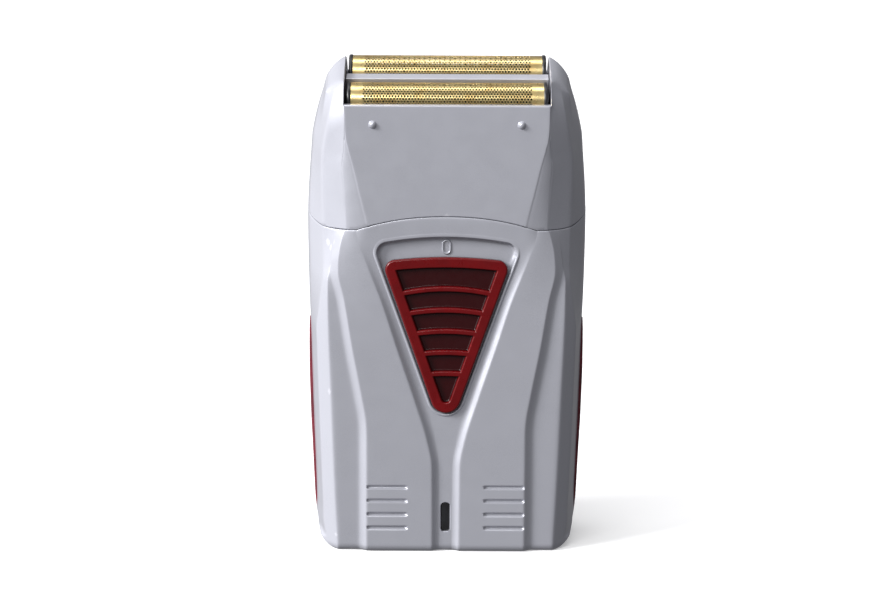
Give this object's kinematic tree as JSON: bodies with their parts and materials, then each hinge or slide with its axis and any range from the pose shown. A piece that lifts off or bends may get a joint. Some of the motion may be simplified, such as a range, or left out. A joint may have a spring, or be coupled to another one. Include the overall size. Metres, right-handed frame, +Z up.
{
  "type": "foil shaver",
  "caption": "Cordless foil shaver with a slanted floating-foil head, oscillating under-cutters, a motor with an eccentric, a thumb slider switch and side grips.",
  "frame": {"origin": "centre of the base, on the surface that the shaver stands on", "axes": "+Z up along the casing towards the foils, -Y towards the flat front with the slider, +X to the right seen from the front"},
  "size_m": [0.0642, 0.0324, 0.1129],
  "materials": {
    "silver_paint": "semi-gloss metallic silver paint on moulded plastic",
    "wine_grip": "satin wine-red plastic",
    "red_plastic": "glossy dark red plastic",
    "black_plastic": "fine-grained black moulded plastic",
    "black_rubber": "soft black rubber",
    "steel": "bright steel",
    "gold_foil": "thin perforated foil with a gold-coloured coating",
    "brass": "plain spring brass",
    "board_green": "green solder mask",
    "cell_wrap": "blue shrink sleeve",
    "white_plastic": "natural white acetal",
    "smoked_lens": "dark smoked light pipe",
    "wire_cover": "wire insulation"
  },
  "bodies": {
    "casing": {"front_shell": "silver_paint", "back_shell": "silver_paint", "left_grip": "wine_grip", "right_grip": "wine_grip", "case_seal": "black_rubber", "case_screws": "steel", "switch_plate": "silver_paint", "slide_switch_body": "steel", "circuit_board": "board_green", "led_chip": "white_plastic", "led_lens": "smoked_lens", "battery_cell": "cell_wrap", "battery_tabs": "steel", "charge_leads": "wire_cover", "motor_can": "steel", "motor_end_cap": "black_plastic", "motor_leads": "wire_cover", "motor_bracket": "steel", "motor_screws": "steel", "bracket_screws": "steel", "neck_deck": "black_plastic", "neck_seal": "black_rubber", "drive_flexures": "white_plastic", "flexure_screws": "steel", "charge_inlet": "black_plastic", "charge_contacts": "brass"},
    "switch_slide": {"power_slider": "red_plastic", "slider_carrier": "black_plastic", "slide_switch_knob": "black_plastic"},
    "rotor": {"motor_shaft": "steel", "eccentric": "white_plastic"},
    "bridge": {"drive_bridge": "white_plastic"},
    "cutter_block_front": {"cutter_carrier_front": "black_plastic", "cutter_blades_front": "steel", "cutter_spring_front": "steel"},
    "cutter_block_rear": {"cutter_carrier_rear": "black_plastic", "cutter_blades_rear": "steel", "cutter_spring_rear": "steel"},
    "head": {"head_frame": "silver_paint", "foil_springs_front": "steel", "foil_springs_rear": "steel"},
    "foil_block_front": {"foil_holder_front": "black_plastic", "foil_front": "gold_foil"},
    "foil_block_rear": {"foil_holder_rear": "black_plastic", "foil_rear": "gold_foil"}
  },
  "joints": [
    {"name": "power_slide", "type": "slide", "parent": "casing", "child": "switch_slide", "axis": [0, 0, 1], "range_m": [0, 0.004]},
    {"name": "motor_spin", "type": "hinge", "parent": "casing", "child": "rotor", "pos_m": [0, 0.003, 0.07], "axis": [0, 0, 1], "continuous": true},
    {"name": "bridge_slide", "type": "slide", "parent": "casing", "child": "bridge", "axis": [1, 0, 0], "range_m": [-0.0009, 0.0009], "stiffness_N_per_m": 1500, "deforming": ["drive_flexures"]},
    {"name": "cutter_float_front", "type": "slide", "parent": "bridge", "child": "cutter_block_front", "axis": [0, -0.4695, 0.8829], "range_m": [-0.0012, 0], "stiffness_N_per_m": 400, "springref_m": 0.001, "deforming": ["cutter_spring_front"]},
    {"name": "cutter_float_rear", "type": "slide", "parent": "bridge", "child": "cutter_block_rear", "axis": [0, -0.4695, 0.8829], "range_m": [-0.0012, 0], "stiffness_N_per_m": 400, "springref_m": 0.001, "deforming": ["cutter_spring_rear"]},
    {"name": "head_release", "type": "slide", "parent": "casing", "child": "head", "axis": [0, -0.4695, 0.8829], "range_m": [0, 0.022]},
    {"name": "foil_float_front", "type": "slide", "parent": "head", "child": "foil_block_front", "axis": [0, -0.4695, 0.8829], "range_m": [-0.0012, 0], "stiffness_N_per_m": 400, "springref_m": 0.001, "deforming": ["foil_springs_front"]},
    {"name": "foil_float_rear", "type": "slide", "parent": "head", "child": "foil_block_rear", "axis": [0, -0.4695, 0.8829], "range_m": [-0.0012, 0], "stiffness_N_per_m": 400, "springref_m": 0.001, "deforming": ["foil_springs_rear"]}
  ],
  "couplings": [
    {"joint": "cutter_float_front", "follows": "foil_float_front", "ratio": 1},
    {"joint": "cutter_float_rear", "follows": "foil_float_rear", "ratio": 1}
  ]
}
